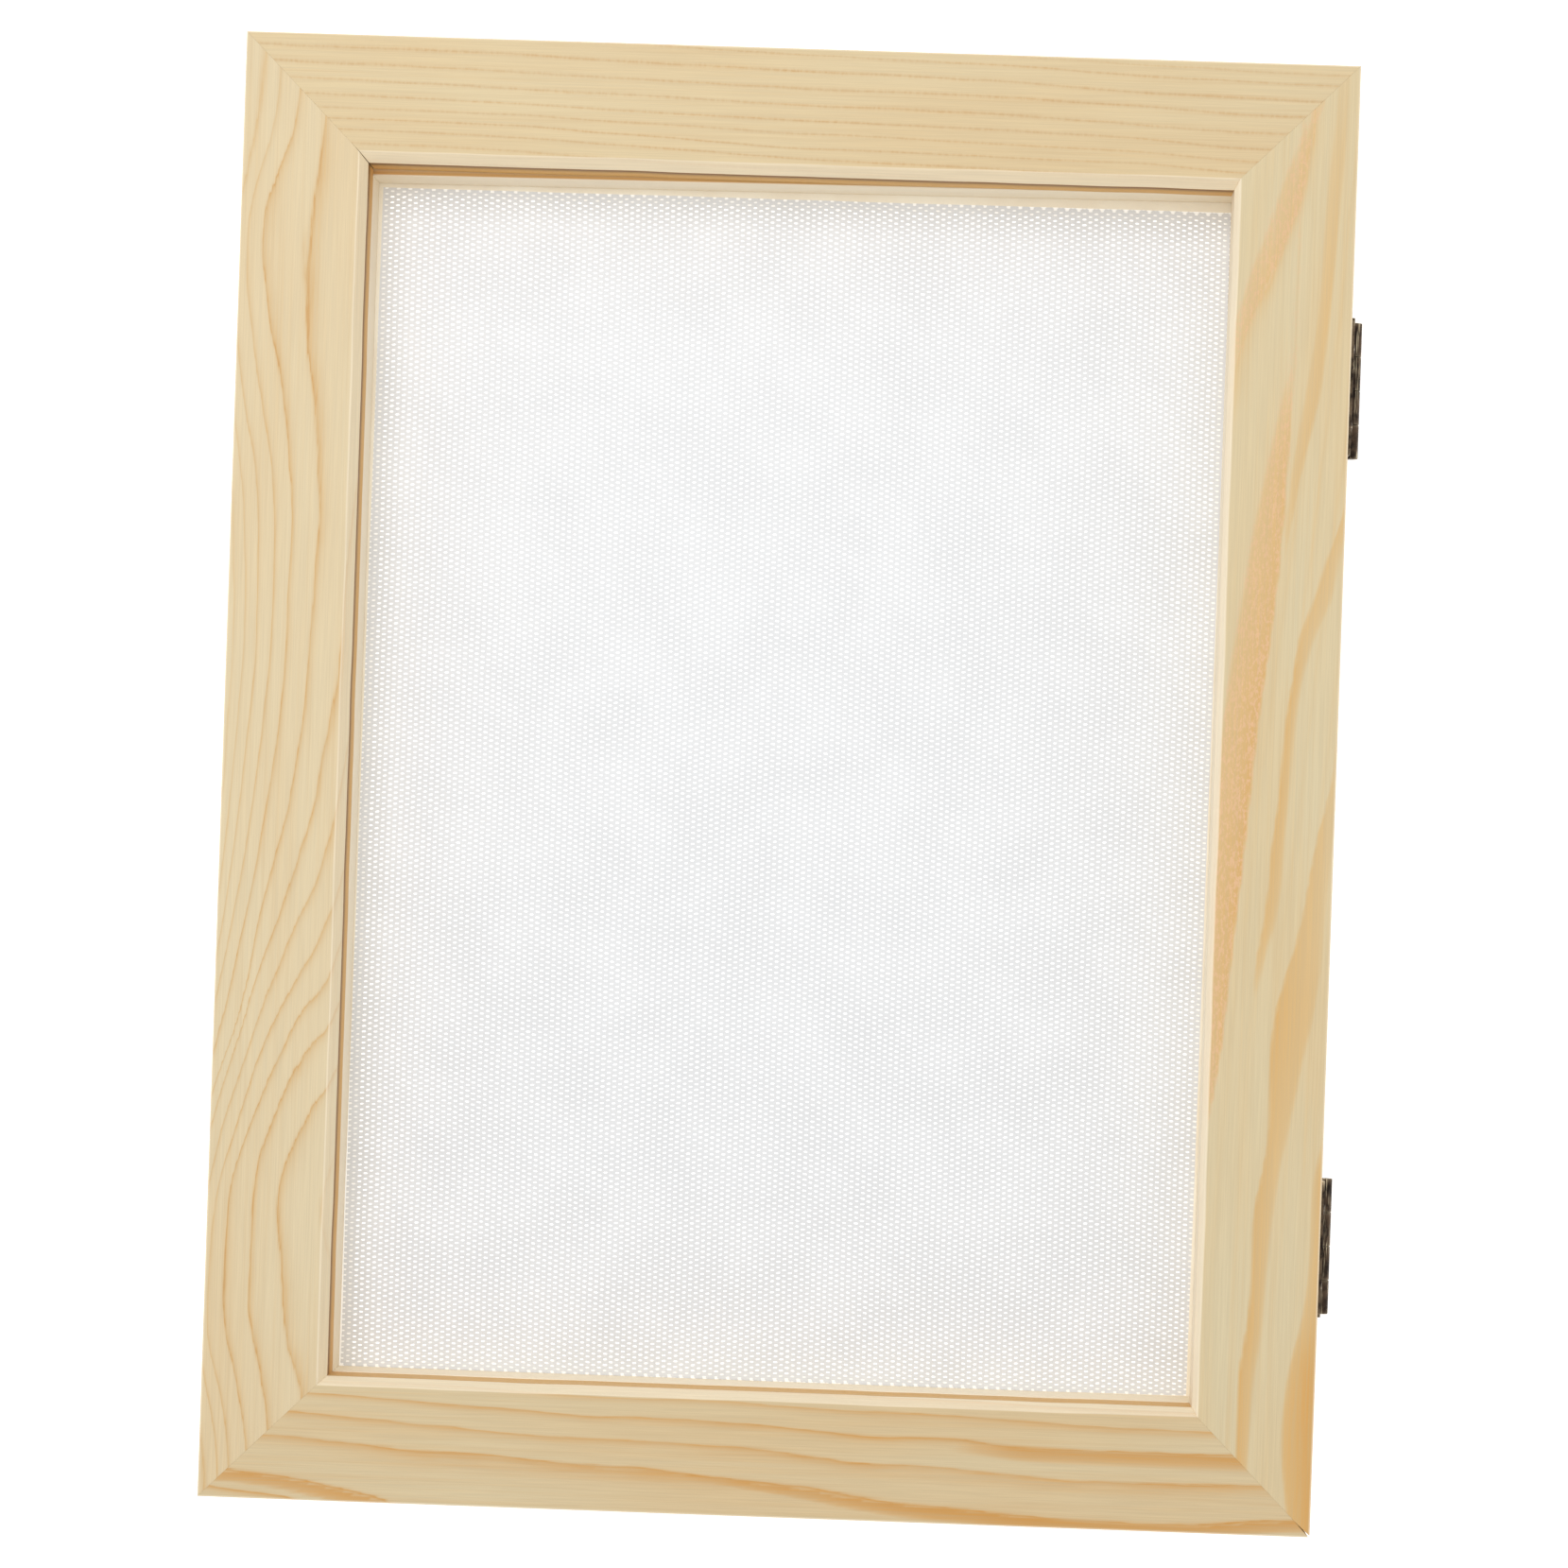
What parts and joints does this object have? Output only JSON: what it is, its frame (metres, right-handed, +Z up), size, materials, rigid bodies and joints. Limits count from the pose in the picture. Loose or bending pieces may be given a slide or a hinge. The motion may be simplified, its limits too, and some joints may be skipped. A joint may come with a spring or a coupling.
{
  "type": "screen printing frame",
  "caption": "Mitred pine screen frame with a stretched hexagonal net, and an open pine top frame hinged over it along one long side.",
  "frame": {"origin": "on the surface the frame lies on, under the middle of its bounding box", "axes": "+Z up out of the open top frame, +Y along the hinge side towards the back rail, +X towards the hinges"},
  "size_m": [0.2756, 0.3586, 0.0263],
  "materials": {
    "top_pine": "bare planed pine, satin",
    "screen_pine": "bare planed pine, satin",
    "batten_pine": "bare sawn pine, matt",
    "net": "white polyester net",
    "steel": "plain bright steel",
    "hinge_bronze": "antique bronze plating, rubbed bright on the edges",
    "screw_bronze": "antique bronze plating"
  },
  "bodies": {
    "screen_frame": {"screen_frame_back_rail": "screen_pine", "screen_frame_front_rail": "screen_pine", "screen_frame_left_rail": "screen_pine", "screen_frame_hinge_rail": "screen_pine", "screen_frame_v_nails": "steel", "screen_mesh": "net", "batten_back": "batten_pine", "batten_front": "batten_pine", "batten_left": "batten_pine", "batten_hinge": "batten_pine", "batten_brads": "steel", "back_hinge_lower_leaf": "hinge_bronze", "back_hinge_pin": "hinge_bronze", "back_hinge_lower_screws": "screw_bronze", "front_hinge_lower_leaf": "hinge_bronze", "front_hinge_pin": "hinge_bronze", "front_hinge_lower_screws": "screw_bronze"},
    "top_frame": {"top_frame_back_rail": "top_pine", "top_frame_front_rail": "top_pine", "top_frame_left_rail": "top_pine", "top_frame_hinge_rail": "top_pine", "top_frame_v_nails": "steel", "back_hinge_upper_leaf": "hinge_bronze", "back_hinge_upper_screws": "screw_bronze", "front_hinge_upper_leaf": "hinge_bronze", "front_hinge_upper_screws": "screw_bronze"}
  },
  "joints": [
    {"name": "top_frame_hinge", "type": "hinge", "parent": "screen_frame", "child": "top_frame", "pos_m": [0.13608, 0, 0.01465], "axis": [0, 1, 0], "range_deg": [0, 180]}
  ]
}
